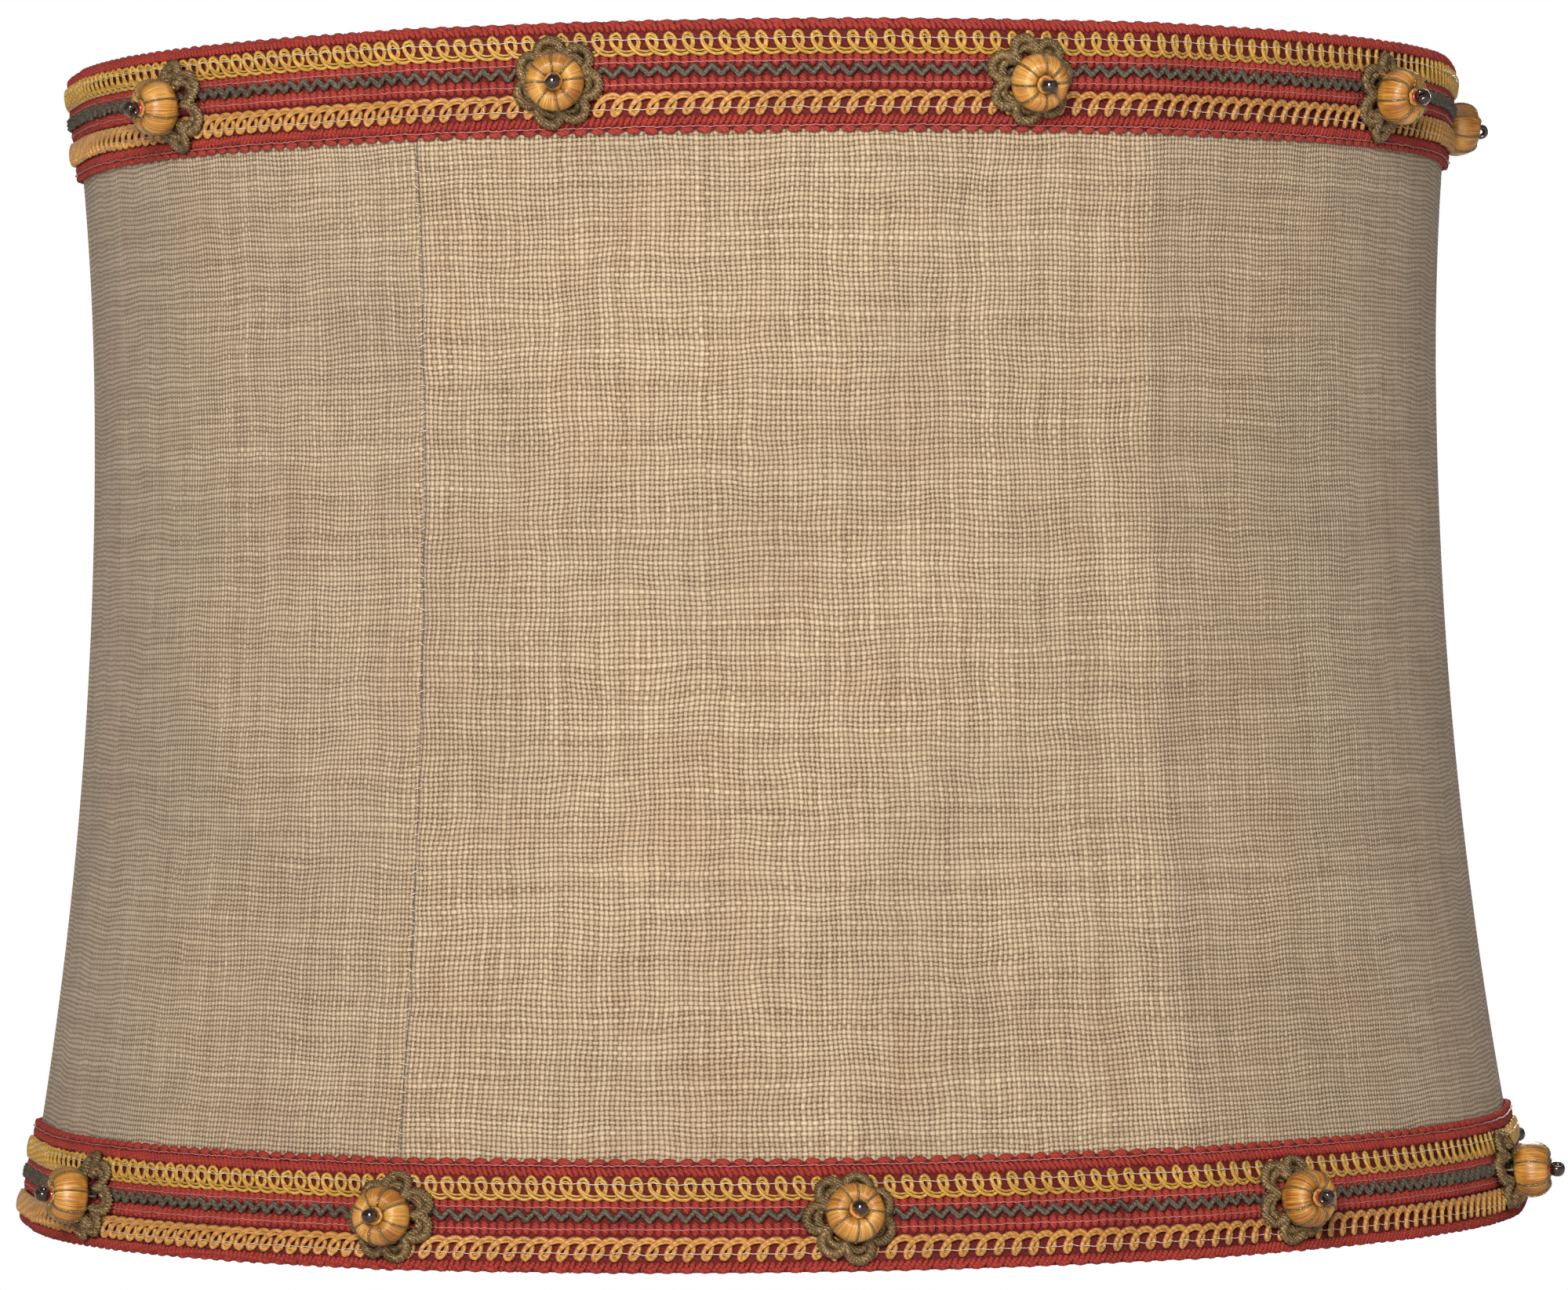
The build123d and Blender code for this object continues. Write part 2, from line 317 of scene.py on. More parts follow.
def wireMaterial():
    material, graph, shader = newMaterial("enamelledWire", 0.35, Coat_Weight=0.3)
    place = objectPlace(graph)
    drift = noise(graph, place, 60.0, 4.0, 0.6)
    chip = (noise(graph, place, 420.0, 3.0, 0.7) * 6.0 - 4.1).math("MAXIMUM", 0.0).math("MINIMUM", 1.0)
    tone = graph.mix(drift, linear(226, 220, 204), linear(242, 238, 226))
    feed(graph, shader, "Base Color", graph.mix(chip, tone, linear(120, 112, 100)))
    feed(graph, shader, "Roughness", 0.3 + drift * 0.2 + chip * 0.3)
    feedBump(graph, shader, noise(graph, place, 900.0, 2.0), 0.00005, 0.4)
    return material


def brassMaterial():
    material, graph, shader = newMaterial("platedBrass", 0.3, Metallic=1.0)
    place = objectPlace(graph)
    parts = graph.node("ShaderNodeSeparateXYZ", None, {"Vector": place})
    reach = (parts.out("X") ** 2.0 + parts.out("Y") ** 2.0).math("SQRT")
    turning = noise(graph, joined(graph, reach * 3000.0, 0.0), 1.0, 3.0, 0.7)
    stain = noise(graph, place, 140.0, 4.0, 0.6)
    tone = graph.mix(stain * 0.7, linear(214, 176, 104), linear(168, 122, 62))
    feed(graph, shader, "Base Color", tone)
    feed(graph, shader, "Roughness", 0.2 + turning * 0.15 + stain * 0.15)
    feedBump(graph, shader, turning, 0.00003, 0.5)
    return material


def bindingMaterial():
    material, graph, shader = newMaterial("cottonBinding", 0.85)
    place = objectPlace(graph)
    parts = graph.node("ShaderNodeSeparateXYZ", None, {"Vector": place})
    angle = parts.out("Y").math("ARCTAN2", parts.out("X"))
    wrap = (angle * 150.0 + parts.out("Z") * 900.0).math("SINE") * 0.5 + 0.5
    weave = noise(graph, place, 1600.0, 2.0)
    tone = graph.mix(wrap * 0.4 + weave * 0.5, linear(204, 190, 160), linear(236, 226, 204))
    feed(graph, shader, "Base Color", tone)
    feedBump(graph, shader, wrap * 0.7 + weave * 0.4, 0.0003, 0.8)
    return material


materials = {name: yarnMaterial(name, **finish) for name, finish in finishes.items()}
materials["linen"] = linenMaterial()
materials["lining"] = liningMaterial()
materials["satin"] = satinMaterial()
materials["redGlass"] = glassMaterial("redGlass", linear(214, 44, 16), linear(150, 18, 8), 0.08)
materials["bronzeGlass"] = glassMaterial("bronzeGlass", linear(52, 26, 18), linear(24, 12, 10), 0.08)
materials["wire"] = wireMaterial()
materials["brass"] = brassMaterial()
materials["binding"] = bindingMaterial()
print("materials ready")


def linenRadius(z):
    rise = z - waistZ
    curve = shade["upperCurve"] if rise > 0 else shade["lowerCurve"]
    return shade["waistRadius"] + curve - math.sqrt(curve ** 2 - rise ** 2)


def linenLean(z):
    rise = z - waistZ
    return math.atan(rise / (shade["upperCurve"] if rise > 0 else shade["lowerCurve"]))


def fromRib(angle):
    step = shade["ribStep"]
    return (angle - shade["firstRib"] + step / 2) % step - step / 2


# How far out the skin is, and how far it is turned from straight out, near a rib
def skinRadius(angle, z, offset):
    peak = linenRadius(z) + offset
    circle = peak - shade["ribStandOut"]
    reach = math.degrees(math.acos(circle / peak))
    off = fromRib(angle)
    if abs(off) >= reach:
        return circle, 0.0
    soft = math.hypot(off, shade["ribSoftness"] * (1 - abs(off) / reach))
    radius = circle / math.cos(math.radians(max(reach - soft, 0)))
    return radius, (reach - abs(off)) * off / max(soft, 1e-6)


def direction(angle):
    return Vector((math.sin(math.radians(angle)), -math.cos(math.radians(angle)), 0))


def skin(angle, z, offset=0.0):
    radius, turned = skinRadius(angle, z, offset)
    lean = linenLean(z)
    place = direction(angle) * radius + Vector((0, 0, z))
    facing = direction(angle + turned) * math.cos(lean) - Vector((0, 0, math.sin(lean)))
    return place, facing


def newPiece(name, points, faces, material, smooth=True):
    mesh = bpy.data.meshes.new(name)
    mesh.from_pydata([tuple(p) for p in points], [], faces)
    mesh.materials.append(material)
    mesh.update()
    if smooth:
        mesh.polygons.foreach_set("use_smooth", [True] * len(mesh.polygons))
    piece = bpy.data.objects.new(name, mesh)
    bpy.context.scene.collection.objects.link(piece)
    return piece


def gridFaces(columns, rows, closed=False):
    faces = []
    for i in range(columns if closed else columns - 1):
        j = (i + 1) % columns
        for k in range(rows - 1):
            faces.append((i * rows + k, j * rows + k, j * rows + k + 1, i * rows + k + 1))
    return faces


def giveUv(piece, uvs):
    layer = piece.data.uv_layers.new(name="cloth")
    for loop in piece.data.loops:
        layer.data[loop.index].uv = uvs[loop.vertex_index]


def applyModifiers(piece):
    graph = bpy.context.evaluated_depsgraph_get()
    mesh = bpy.data.meshes.new_from_object(piece.evaluated_get(graph))
    piece.modifiers.clear()
    piece.data = mesh


def thicken(piece, thickness):
    solidify = piece.modifiers.new("thickness", "SOLIDIFY")
    solidify.thickness = thickness
    solidify.offset = -1
    applyModifiers(piece)


cover = {
    "columns": 300,
    "rows": 76,
    "thickness": 0.0006,
    "turnIn": 0.0003,        # of the edge at a seam
    "meet": 0.006,           # degrees between an edge and the seam's middle
    "ripple": 0.00035,
    "flatRadius": 0.194,     # half of its turn is the declared flat width, 4.5% over the real one
    "flatSpare": 0.004,      # spare over the height
}


def waver(angle, z, seed):
    bend = math.sin(math.radians(angle * 5 + seed * 70) + z * 21)
    pull = math.sin(math.radians(angle * 13 + seed * 40) - z * 55)
    return bend * 0.6 + pull * 0.4


def coverHalf(name, node, start, seed):
    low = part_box(node)[0][2]
    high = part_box(node)[1][2]
    points, uvs = [], []
    for i in range(cover["columns"] + 1):
        angle = start + 180 * i / cover["columns"]
        edge = min(i, cover["columns"] - i)
        hem = 0.0 if edge else cover["turnIn"]
        inside = cover["meet"] if edge == 0 else 0
        for k in range(cover["rows"]):
            z = low + (high - low) * k / (cover["rows"] - 1)
            held = math.sin(math.pi * k / (cover["rows"] - 1))
            sag = waver(angle, z, seed) * cover["ripple"] * held * (1 - math.exp(-abs(fromRib(angle)) / 3))
            shift = inside if i == 0 else -inside
            points.append(skin(angle + shift, z, sag - hem)[0])
            uvs.append((math.radians(angle) * shade["waistRadius"] * 1.02 + seed, z + seed * 0.37))
    piece = newPiece(name, points, gridFaces(cover["columns"] + 1, cover["rows"]), materials["linen"])
    giveUv(piece, uvs)
    thicken(piece, cover["thickness"])
    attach(piece, "root")
    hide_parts(node)
    return piece


coverHalf("rightLinenCover", "right_cover", shade["firstRib"], 1)
coverHalf("leftLinenCover", "left_cover", shade["firstRib"] + 180, 2)
print("linen cover made")

lining = {"columns": 240, "rows": 60, "thickness": 0.0005, "endInset": 0.0080, "waistInset": 0.0042,
          "foldRadius": 0.0026, "foldSteps": 9, "pleat": 0.0003,
          "flatRadius": 0.186, "flatHeight": 0.32}     # a flat width 2% over the real one


# Round, less waisted than the linen, and folded over each ring to end behind the braid
def liningProfile():
    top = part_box("top_ring_binding")
    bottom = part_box("bottom_ring_binding")
    ringTop = (top[0][2] + top[1][2]) / 2
    ringBottom = (bottom[0][2] + bottom[1][2]) / 2
    fold = lining["foldRadius"]
    profile = []
    for centreZ, way in ((ringBottom, -1), (ringTop, 1)):
        centre = linenRadius(centreZ) - lining["endInset"] + fold
        arc = []
        for i in range(lining["foldSteps"]):
            turn = math.pi * i / (lining["foldSteps"] - 1)
            arc.append((centre - fold * math.cos(turn), centreZ + way * fold * math.sin(turn)))
        profile.append(arc)
    low, high = profile[0][0], profile[1][0]
    waist = shade["waistRadius"] - lining["waistInset"]
    middle = []
    for k in range(1, lining["rows"] - 1):
        z = low[1] + (high[1] - low[1]) * k / (lining["rows"] - 1)
        end = high if z > waistZ else low
        share = (z - waistZ) / (end[1] - waistZ)
        middle.append((waist + (end[0] - waist) * share ** 2, z))
    return profile[0][::-1] + middle + profile[1]


def liningHalf(name, node, start, seed):
    profile = liningProfile()
    points, uvs = [], []
    for i in range(lining["columns"] + 1):
        angle = start + 180 * i / lining["columns"]
        length = 0.0
        for k, (radius, z) in enumerate(profile):
            if k:
                length += math.dist(profile[k - 1], profile[k])
            gather = math.sin(math.radians(angle) * 61 + math.sin(angle * 0.9) * 2 + seed) * lining["pleat"]
            near = math.exp(-min(abs(z - profile[0][1]), abs(z - profile[-1][1])) / 0.012)
            points.append(direction(angle) * (radius - abs(gather) * near) + Vector((0, 0, z)))
            uvs.append((math.radians(angle) * 0.18 + seed, length))
    rows = len(profile)
    faces = [face[::-1] for face in gridFaces(lining["columns"] + 1, rows)]
    piece = newPiece(name, points, faces, materials["lining"])
    giveUv(piece, uvs)
    thicken(piece, lining["thickness"])
    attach(piece, "root")
    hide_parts(node)
    return piece


liningHalf("rightLining", "right_lining", shade["firstRib"], 1)
liningHalf("leftLining", "left_lining", shade["firstRib"] + 180, 2)
print("lining made")


braid = {
    "width": 0.0298,
    "rollRadius": 0.0022,    # its outer edge rolls over the ring
    "rollLength": 0.0039,
    "tape": 0.0010,
    "pitch": 0.00455,        # of the loops, and of every other row by halves and thirds
    "picotBack": 0.0014,     # how far in from its rolled edge the outer row of scallops sits
    "gap": 0.0001,
}
rims = {
    "top": {"edge": shade["top"], "way": 1},
    "bottom": {"edge": shade["bottom"], "way": -1},
}


# A place on the braid's back: row is the distance down from its upper edge
def onBraid(rim, angle, row, lift):
    way = rims[rim]["way"]
    fromEdge = row if way > 0 else braid["width"] - row
    rollMost = braid["rollLength"] / braid["rollRadius"]
    straightStart = rims[rim]["edge"] - way * braid["rollRadius"] * math.sin(min(rollMost, math.pi / 2))
    down = max(fromEdge - braid["rollLength"], 0)
    z = straightStart - way * down * math.cos(linenLean(straightStart))
    place, facing = skin(angle, z, braid["gap"])
    roll = max(0, (braid["rollLength"] - fromEdge) / braid["rollRadius"])
    if roll:
        tangent = direction(angle + 90)
        upward = facing.cross(tangent) * way
        centre = place - facing * (braid["rollRadius"] - braid["tape"])
        facing = facing * math.cos(roll) + upward * math.sin(roll)
        place = centre + facing * (braid["rollRadius"] - braid["tape"])
    return place + facing * lift, facing


def guide(rim, row, lift, steps=900):
    mesh = bpy.data.meshes.new("guide")
    join = shade["firstRib"] - shade["ribStep"]
    places = [onBraid(rim, 360 * i / steps + join, row, lift) for i in range(steps)]
    edges = [(i, (i + 1) % steps) for i in range(steps)]
    return guideMesh(mesh, places, edges)


def guideMesh(mesh, places, edges):
    mesh.from_pydata([tuple(p) for p, _ in places], edges, [])
    outward = mesh.attributes.new("outward", "FLOAT_VECTOR", "POINT")
    outward.data.foreach_set("vector", [c for _, f in places for c in f])
    return mesh


def treeWith(name, inputs):
    tree = bpy.data.node_groups.new(name, "GeometryNodeTree")
    tree.interface.new_socket("Geometry", in_out="INPUT", socket_type="NodeSocketGeometry")
    tree.interface.new_socket("Geometry", in_out="OUTPUT", socket_type="NodeSocketGeometry")
    for title, kind in inputs.items():
        tree.interface.new_socket(title, in_out="INPUT", socket_type="NodeSocket" + kind)
    graph = Graph(tree)
    return graph, graph.node("NodeGroupInput")


def finishTree(graph, geometry, material):
    smooth = graph.node("GeometryNodeSetShadeSmooth", None, {"Geometry": geometry})
    real = graph.node("GeometryNodeRealizeInstances", None, {"Geometry": smooth})
    dressed = graph.node("GeometryNodeSetMaterial", None, {"Geometry": real, "Material": material})
    graph.node("NodeGroupOutput", None, {"Geometry": dressed})
    return graph.tree


def guideAxes(graph):
    kind = {"data_type": "FLOAT_VECTOR"}
    outward = graph.node("GeometryNodeInputNamedAttribute", kind, {"Name": "outward"})
    tangent = graph.node("GeometryNodeInputTangent")
    outward = graph.vector("NORMALIZE", outward)
    side = graph.vector("NORMALIZE", graph.vector("CROSS_PRODUCT", outward, tangent))
    return outward, tangent, side


def moved(graph, curve, *shifts):
    offset = graph.scaled(*shifts[0])
    for axis, amount in shifts[1:]:
        offset = graph.vector("ADD", offset, graph.scaled(axis, amount))
    return graph.node("GeometryNodeSetPosition", None, {"Geometry": curve, "Offset": offset})


def swept(graph, curve, radius, sides):
    circle = graph.node("GeometryNodeCurvePrimitiveCircle", None, {"Resolution": sides, "Radius": radius})
    return graph.node("GeometryNodeCurveToMesh", None, {"Curve": curve, "Profile Curve": circle})


# A cord laid in loops: each closes above the row's middle and sweeps on under the next
def loopTree():
    graph, given = treeWith("loopedCord", {
        "Loops": "Int", "Steps": "Int", "Reach": "Float", "Height": "Float", "Lift": "Float",
        "Radius": "Float", "Sweep": "Float", "Flip": "Float", "Uneven": "Float", "Seed": "Int",
        "Material": "Material"})
    curve = graph.node("GeometryNodeMeshToCurve", None, {"Mesh": given.out("Geometry")})
    count = given.out("Loops") * given.out("Steps")
    curve = graph.node("GeometryNodeResampleCurve", None, {"Curve": curve, "Count": count})
    outward, tangent, side = guideAxes(graph)
    index = graph.node("GeometryNodeInputIndex")
    phase = (index * 1.0) / given.out("Steps")
    whole = (phase - 0.25).math("FLOOR")
    chanceSettings = {"data_type": "FLOAT"}
    swell = graph.node("FunctionNodeRandomValue", chanceSettings,
                       {2: -1.0, 3: 1.0, "ID": whole, "Seed": given.out("Seed")}, 1)
    lean = graph.node("FunctionNodeRandomValue", chanceSettings,
                      {2: -1.0, 3: 1.0, "ID": whole, "Seed": given.out("Seed") + 7}, 1)
    turn = phase * (2 * math.pi)
    rise = turn.math("SINE")
    upper = rise.math("MAXIMUM", 0.0)
    uneven = given.out("Uneven")
    along = turn.math("COSINE") * given.out("Reach") + upper * lean * uneven * 0.0012
    along = along - rise * given.out("Sweep")
    up = rise * given.out("Height") * given.out("Flip") * (1 + swell * uneven * upper)
    out = (1 - turn.math("COSINE")) * given.out("Lift") * 0.5
    curve = moved(graph, curve, (tangent, along), (side, up), (outward, out))
    return finishTree(graph, swept(graph, curve, given.out("Radius"), 6), given.out("Material"))


# Strands that wind or plait along a guide, which may itself run in a zigzag
def strandTree():
    graph, given = treeWith("strands", {
        "Points": "Int", "Turns": "Int", "Phase": "Float", "Side": "Float", "Out": "Float",
        "Out Rate": "Float", "Radius": "Float", "Waves": "Int", "Wave Height": "Float",
        "Waver": "Float", "Seed": "Float", "Material": "Material"})
    curve = graph.node("GeometryNodeMeshToCurve", None, {"Mesh": given.out("Geometry")})
    curve = graph.node("GeometryNodeResampleCurve", None, {"Curve": curve, "Count": given.out("Points")})
    outward, _, side = guideAxes(graph)
    factor = graph.node("GeometryNodeSplineParameter")
    turn = factor * given.out("Turns") * (2 * math.pi) + given.out("Phase")
    wave = (factor * given.out("Waves")).math("PINGPONG", 0.5) * 4 - 1
    wild = graph.node("ShaderNodeTexNoise", {"noise_dimensions": "1D"},
                      {"W": factor * given.out("Waves") * 0.7 + given.out("Seed"), "Scale": 1.0})
    up = turn.math("SINE") * given.out("Side") + wave * given.out("Wave Height")
    up = up + (wild - 0.5) * given.out("Waver")
    out = (turn * given.out("Out Rate")).math("COSINE") * given.out("Out")
    curve = moved(graph, curve, (side, up), (outward, out))
    return finishTree(graph, swept(graph, curve, given.out("Radius"), 5), given.out("Material"))


# Plump little yarn wraps set side by side
def wrapTree():
    graph, given = treeWith("yarnWraps", {
        "Count": "Int", "Width": "Float", "Height": "Float", "Depth": "Float", "Slant": "Float",
        "Uneven": "Float", "Seed": "Int", "Material": "Material"})
    curve = graph.node("GeometryNodeMeshToCurve", None, {"Mesh": given.out("Geometry")})
    curve = graph.node("GeometryNodeResampleCurve", None, {"Curve": curve, "Count": given.out("Count")})
    outward, tangent, _ = guideAxes(graph)
    turn = graph.node("FunctionNodeAxesToRotation", None, {0: outward, 1: tangent})
    index = graph.node("GeometryNodeInputIndex")
    uneven = given.out("Uneven")
    chances = [graph.node("FunctionNodeRandomValue", {"data_type": "FLOAT"},
                          {2: -1.0, 3: 1.0, "ID": index, "Seed": given.out("Seed") + i}, 1) for i in range(4)]
    tilt = graph.node("ShaderNodeCombineXYZ", None, {"Z": given.out("Slant") + chances[0] * uneven})
    tilt = graph.node("FunctionNodeEulerToRotation", None, {0: tilt})
    turn = graph.node("FunctionNodeRotateRotation", {"rotation_space": "LOCAL"}, {0: turn, 1: tilt})
    size = graph.node("ShaderNodeCombineXYZ", None, {
        "X": given.out("Width") * (1 + chances[1] * uneven * 0.5),
        "Y": given.out("Height") * (1 + chances[2] * uneven * 0.5),
        "Z": given.out("Depth") * (1 + chances[3] * uneven)})
    ball = graph.node("GeometryNodeMeshUVSphere", None, {"Segments": 8, "Rings": 5, "Radius": 0.5})
    spots = graph.node("GeometryNodeInstanceOnPoints", None,
                       {"Points": curve, "Instance": ball, "Rotation": turn, "Scale": size})
    return finishTree(graph, spots, given.out("Material"))


trees = {"loops": loopTree(), "strands": strandTree(), "wraps": wrapTree()}


# Grows geometry on a guide and gives the finished mesh
def grown(mesh, tree, **values):
    holder = bpy.data.objects.new("grown", mesh)
    bpy.context.scene.collection.objects.link(holder)
    modifier = holder.modifiers.new("grow", "NODES")
    modifier.node_group = trees[tree]
    sockets = {s.name: s.identifier for s in trees[tree].interface.items_tree if s.in_out == "INPUT"}
    for name, value in values.items():
        modifier[sockets[name.replace("_", " ")]] = value
    graph = bpy.context.evaluated_depsgraph_get()
    result = bpy.data.meshes.new_from_object(holder.evaluated_get(graph))
    bpy.data.objects.remove(holder)
    return result


def pieceOf(name, meshes, node):
    piece = bpy.data.objects.new(name, meshes[0])
    bpy.context.scene.collection.objects.link(piece)
    others = []
    for mesh in meshes[1:]:
        other = bpy.data.objects.new(name + "Part", mesh)
        bpy.context.scene.collection.objects.link(other)
        others.append(other)
    if others:
        with bpy.context.temp_override(active_object=piece, selected_editable_objects=[piece] + others):
            bpy.ops.object.join()
    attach(piece, "root")
    if node:
        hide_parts(node)
    return piece


def tapeGround(rim):
    columns, rows = 720, 26
    points = []
    for i in range(columns):
        for k in range(rows):
            row = braid["width"] * (1 - k / (rows - 1))
            row = min(max(row, 0.0008), braid["width"] - 0.0008)
            points.append(onBraid(rim, 360 * i / columns, row, braid["tape"] * 0.8)[0])
    piece = newPiece(rim + "BraidTape", points, gridFaces(columns, rows, closed=True), materials["redTape"])
    thicken(piece, braid["tape"] * 0.8)
    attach(piece, "root")
    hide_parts(rim + "_braid_tape")


# Rows down the braid, from its upper edge
rows = {
    "picotUpper": 0.00085, "edgeThreadUpper": 0.0018, "slantUpper": 0.0032, "gimpUpper": 0.00755,
    "wrapUpper": 0.0118, "threadUpper": 0.0121, "zigzag": 0.0142, "wrapLower": 0.0173,
    "threadLower": 0.0175, "gimpLower": 0.0224, "slantLower": 0.0267, "edgeThreadLower": 0.0281,
    "picotLower": 0.02895,
}


# The red yarn rows, each a line of small wraps
yarn = {
    "picot": dict(Width=0.0040, Height=0.0021, Depth=0.0017, Slant=0.0, Uneven=0.14),
    "slant": dict(Width=0.0014, Height=0.0034, Depth=0.0014, Uneven=0.2),
    "wrap": dict(Width=0.0023, Height=0.0042, Depth=0.0018, Slant=0.0, Uneven=0.1),
    "picotLift": 0.0009,
    "lift": 0.0010,
    "lean": 0.55,
    "slantsPerLoop": 3,
    "wrapsPerLoop": 2,
}


def redRows(rim, loops):
    seed = 1 if rim == "top" else 2
    red = materials["redYarn"]
    meshes = []
    rolled = "picotUpper" if rim == "top" else "picotLower"
    for k, row in enumerate(("picotUpper", "picotLower")):
        inward = (braid["picotBack"] if k == 0 else -braid["picotBack"]) if row == rolled else 0.0
        meshes.append(grown(guide(rim, rows[row] + inward, yarn["picotLift"]), "wraps", Count=loops,
                            Seed=seed + k, Material=red, **yarn["picot"]))
    for k, row in enumerate(("slantUpper", "slantLower")):
        lean = yarn["lean"] * (1 - 2 * k)
        meshes.append(grown(guide(rim, rows[row], yarn["lift"]), "wraps",
                            Count=loops * yarn["slantsPerLoop"], Slant=lean, Seed=seed + 4 + k,
                            Material=red, **yarn["slant"]))
    for k, row in enumerate(("wrapUpper", "wrapLower")):
        meshes.append(grown(guide(rim, rows[row], yarn["lift"]), "wraps",
                            Count=loops * yarn["wrapsPerLoop"], Seed=seed + 8 + k,
                            Material=red, **yarn["wrap"]))
    pieceOf(rim + "RedRows", meshes, None)


# Fine threads that hold the rows: pink ones between them, clear ones over the gimp's loops
thread = {
    "plain": dict(Phase=0.0, Out=0.00010, Out_Rate=1.0, Wave_Height=0.0),
    "pink": dict(Side=0.00012, Radius=0.00014, Waver=0.0006),
    "clear": dict(Side=0.0001, Radius=0.00009, Waver=0.0010),
    "pinkLift": 0.00185,
    "clearLift": 0.00265,
    "clearShift": 0.0012,    # from the middle of a gimp row towards its loops
    "points": 6,             # to each loop
}


def threadRows(rim, loops):
    seed = 3.0 if rim == "top" else 9.0
    points = loops * thread["points"]
    inner = "edgeThreadLower" if rim == "top" else "edgeThreadUpper"
    meshes = []
    for k, row in enumerate((inner, "threadUpper", "threadLower")):
        meshes.append(grown(guide(rim, rows[row], thread["pinkLift"]), "strands", Points=points,
                            Turns=loops * 2, Waves=loops, Seed=seed + k,
                            Material=materials["pinkThread"], **thread["pink"], **thread["plain"]))
    pieceOf(rim + "PinkThreads", meshes, None)
    meshes = []
    for k, (row, way) in enumerate((("gimpUpper", -1), ("gimpLower", 1))):
        place = rows[row] + way * thread["clearShift"]
        meshes.append(grown(guide(rim, place, thread["clearLift"]), "strands", Points=points,
                            Turns=loops, Waves=loops, Seed=seed + 20 + k,
                            Material=materials["nylonThread"], **thread["clear"], **thread["plain"]))
    pieceOf(rim + "NylonThreads", meshes, None)


# Each row is one cord and a thinner one inside its loops
gimp = {
    "upper": {"row": "gimpUpper", "lift": 0.0014, "reach": 0.00225, "height": 0.00268, "rise": 0.0009,
              "radius": 0.00046, "sweep": 0.0004, "flip": 1.0, "cord": "paleGoldCord"},
    "lower": {"row": "gimpLower", "lift": 0.0015, "reach": 0.00195, "height": 0.00255, "rise": 0.0010,
              "radius": 0.00058, "sweep": 0.0009, "flip": -1.0, "cord": "amberGoldCord"},
    "innerReach": 0.80, "innerHeight": 0.66, "innerRadius": 0.62, "steps": 20, "uneven": 0.10,
}


def gimpRows(rim, loops):
    seed = 11 if rim == "top" else 17
    for k, level in enumerate(("upper", "lower")):
        row = gimp[level]
        meshes = []
        for inner in (False, True):
            meshes.append(grown(
                guide(rim, rows[row["row"]], row["lift"]), "loops", Loops=loops, Steps=gimp["steps"],
                Reach=row["reach"] * (gimp["innerReach"] if inner else 1),
                Height=row["height"] * (gimp["innerHeight"] if inner else 1), Lift=row["rise"],
                Radius=row["radius"] * (gimp["innerRadius"] if inner else 1), Sweep=row["sweep"],
                Flip=row["flip"], Uneven=gimp["uneven"], Seed=seed + 3 * k, Material=materials[row["cord"]]))
        pieceOf(rim + level.capitalize() + "Gimp", meshes, rim + "_" + level + "_gimp")


zigzag = {
    "lift": 0.0020,
    "strands": 3,
    "twists": 4,             # to each loop of the gimp
    "shape": dict(Side=0.00050, Out=0.00045, Out_Rate=1.0, Radius=0.00050, Wave_Height=0.00112,
                  Waver=0.0014, Seed=5.0),
}


def zigzagBraid(rim, loops):
    meshes = []
    for k in range(zigzag["strands"]):
        meshes.append(grown(guide(rim, rows["zigzag"], zigzag["lift"]), "strands", Points=loops * 16,
                            Turns=loops * zigzag["twists"], Phase=2 * math.pi * k / zigzag["strands"],
                            Waves=loops, Material=materials["charcoalBraid"], **zigzag["shape"]))
    pieceOf(rim + "ZigzagBraid", meshes, rim + "_zigzag_braid")


for rim, node in (("top", "top_braid_tape"), ("bottom", "bottom_braid_tape")):
    low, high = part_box(node)
    around = math.pi * (high[0] - low[0]) * 0.993
    loops = round(around / braid["pitch"])
    tapeGround(rim)
    redRows(rim, loops)
    threadRows(rim, loops)
    gimpRows(rim, loops)
    zigzagBraid(rim, loops)
    print(rim, "braid made,", loops, "loops")


rosette = {
    "top": (-148, -110, -54, -16, 21, 59, 98, 136, 174),
    "bottom": (-152, -118, -61, -28, 5, 40, 73, 106, 140, 174),
    "drop": {"top": 0.0016, "bottom": 0.0003},   # below the middle of the braid, hanging from its thread
    "petals": 7, "inner": 0.0058, "outer": 0.0104, "innerPetal": 0.45,
    "cordStrands": 3, "cordLift": 0.0029, "satinSeat": 0.0024, "twists": 8, "twistRadius": 0.00030,
    "redSeat": 0.0030, "satinRadius": 0.00725, "satinLength": 0.0090, "satinHole": 0.0011,
    "seedRadius": 0.00215, "seedLength": 0.0030, "redRadius": 0.0015, "redLength": 0.0020,
    "hole": 0.00045, "tilt": 11.0,
}


def rosettePlane(rim, angle, dice):
    place, facing = onBraid(rim, angle, braid["width"] / 2 + rosette["drop"][rim], rosette["cordLift"])
    across = direction(angle + 90)
    across = (across - facing * across.dot(facing)).normalized()
    up = facing.cross(across)
    basis = Matrix((across, up, facing)).transposed().to_4x4()
    return Matrix.Translation(place) @ basis @ Matrix.Rotation(dice.uniform(0, 6.28), 4, "Z")


